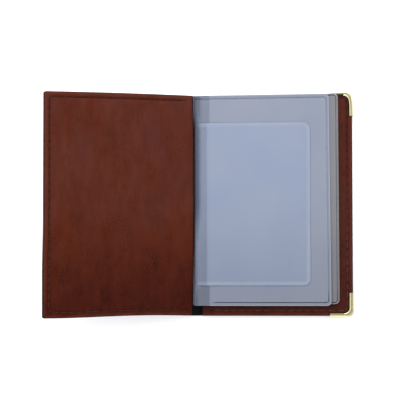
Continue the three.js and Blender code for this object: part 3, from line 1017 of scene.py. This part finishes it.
def web():
    """The film that joins the tongue in the left pocket to the binding roll."""
    tongue_low, tongue_high = flat_box("insert_tongue", -1)
    level = (tongue_low[2] + tongue_high[2]) / 2
    edge = np.array([[-tongue_low[0], 0, level], [-tongue_low[0] + 0.7 * MM, 0, level]])
    near = to_frame(edge, np.ones(2))[:, [0, 2]] - np.array([FOLD_X, FOLD_Z])
    t = np.linspace(0, 1, 15)
    ys = spread(tongue_low[1] + 0.3 * MM, (tongue_high[1] - 0.3 * MM, 2.5 * MM))
    t, y = np.meshgrid(t, ys, indexing="ij")
    curve, normal = bezier(t, [near[0], near[1], polar(222, 1.7 * MM), polar(222, BEAD + 0.06 * MM)])
    flat = np.concatenate([
        np.stack([FOLD_X + curve[0] + normal[0] * off, y, FOLD_Z + curve[1] + normal[1] * off], axis=2)
        .reshape(-1, 3) for off in (-0.1 * MM, 0.1 * MM)])
    # painted shade: the web lies down in the crease, darkest under the left pocket's mouth
    tone = np.tile((-0.5 - 0.75 * in_shade(y)).ravel(), 2)
    obj = piece("insert_web_film", flat, slab_faces(*t.shape), FILM, "film", flat=flat, tone=tone)
    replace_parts(obj, "insert_web")
    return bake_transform(obj)


def tongue():
    """The flat end of the insert, inside the left pocket."""
    low, high = flat_box("insert_tongue", -1)
    near = np.array([0, 0.1, 0.3, 0.8, 1.6, 2.6]) * MM
    xs = tidy([spread(low[0], (5 * MM, 0.7 * MM), (high[0] - 2.6 * MM, 4 * MM)), high[0] - near])
    ys = tidy([low[1] + near, spread(low[1] + 2.6 * MM, (high[1] - 2.6 * MM, 4 * MM)), high[1] - near])
    x, y = np.meshgrid(xs, ys, indexing="ij")
    x, y = rounded(x, y, high[0], low[1], high[1], LEAF_CORNER)
    wave = 0.04 * MM * ripple(x, y, 41, 30 * MM)
    flat = two_faces(-x, y, high[2] - 0.05 * MM + wave, low[2] + 0.05 * MM + wave)
    edge = inside(x, y, high[0], low[1], high[1], LEAF_CORNER)
    # a painted highlight along its edges and painted deep shade near the pocket's mouth
    tone = np.tile((0.5 * (edge < 0.9 * MM) - 2 * (1 - smooth(x, low[0], 5 * MM))).ravel(), 2)
    obj = piece("insert_tongue_film", to_frame(flat, 1.0), slab_faces(*x.shape, flip=True), FILM, "film",
                flat=flat, tone=tone)
    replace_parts(obj, "insert_tongue")
    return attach(obj, "left_cover")


def boards():
    """The two hidden stiffeners keep their CAD shape and take a cardboard finish."""
    for word in ("left", "right"):
        obj = frame["nodes"][f"stiffener_{word}"]
        obj.data.materials.clear()
        obj.data.materials.append(BOARD)
        co = np.array([v.co for v in obj.data.vertices], np.float32)
        layer = obj.data.attributes.new("flat", "FLOAT_VECTOR", "POINT")
        layer.data.foreach_set("vector", co.ravel())


# Surroundings


def floor():
    """A pale floor with a weak glow, as white as the photo's background."""
    white = (1.0, 1.0, 1.0, 1.0)
    look = Look("floor", Roughness=0.7, Specular_IOR_Level=0.2, Emission_Color=white, Emission_Strength=0.12)
    grain = look.add("TexNoise", {"Scale": 40, "Detail": 2}).outputs["Fac"]
    colour = look.blend(look.fit(grain, 0.3, 0.7), rgb(FLOOR_DARK), rgb(FLOOR_LIGHT))
    look.feed(look.shader.inputs["Base Color"], colour)
    size = 3.0
    corners = [(-size, -size, 0), (size, -size, 0), (size, size, 0), (-size, size, 0)]
    mesh = bpy.data.meshes.new("floor")
    mesh.from_pydata(corners, [], [(0, 1, 2, 3)])
    mesh.materials.append(look.material)
    obj = bpy.data.objects.new("floor", mesh)
    obj.location.z = -0.1 * MM
    bpy.context.scene.collection.objects.link(obj)


def softbox(name, at, size, power):
    """A square area light, turned to the middle of the holder."""
    light = bpy.data.lights.new(name, "AREA")
    light.shape, light.size, light.energy = "SQUARE", size, power
    obj = bpy.data.objects.new(name, light)
    obj.location = at
    obj.rotation_euler = (-Vector(at)).to_track_quat("-Z", "Y").to_euler()
    bpy.context.scene.collection.objects.link(obj)


def studio():
    """Four soft lights round the holder and a pale sky."""
    softbox("key", at=(-0.05, 0.55, 0.42), size=0.6, power=7.0)
    softbox("right", at=(0.85, 0.1, 0.55), size=0.6, power=3.0)
    softbox("left", at=(-0.95, 0.0, 0.55), size=0.6, power=2.5)
    softbox("front", at=(0.0, -0.95, 0.6), size=0.7, power=5.5)
    world = bpy.data.worlds.new("studio")
    world.use_nodes = True
    background = world.node_tree.nodes["Background"]
    background.inputs["Color"].default_value = rgb((0.93, 0.96, 1.0))
    background.inputs["Strength"].default_value = 0.7
    bpy.context.scene.world = world
    bpy.context.scene.view_settings.view_transform = "Standard"


def camera():
    """Almost straight above, the way the photo was taken."""
    data = bpy.data.cameras.new("camera")
    data.lens, data.sensor_width = 138.0, 36.0
    obj = bpy.data.objects.new("camera", data)
    obj.location = (FOLD_X + 77.3 * MM, -35.1 * MM, 939.7 * MM)
    obj.rotation_mode = "ZYX"
    obj.rotation_euler = [math.radians(a) for a in (2.35, 4.6, -0.28)]
    bpy.context.scene.collection.objects.link(obj)
    bpy.context.scene.camera = obj


outer_leather()
lining()
boards()
for cover_side, cover_word in ((1, "right"), (-1, "left")):
    pocket_flap(cover_side, cover_word)
    stitches(f"stitches_inner_{cover_word}", f"seam_thread_inner_{cover_word}", cover_side, 1)
    stitches(f"stitches_outer_{cover_word}", f"seam_thread_outer_{cover_word}", cover_side, -1)
corner_cap(1, "corner_cap_top")
corner_cap(-1, "corner_cap_bottom")
tongue()
web()
binding()
sleeves()
floor()
studio()
camera()
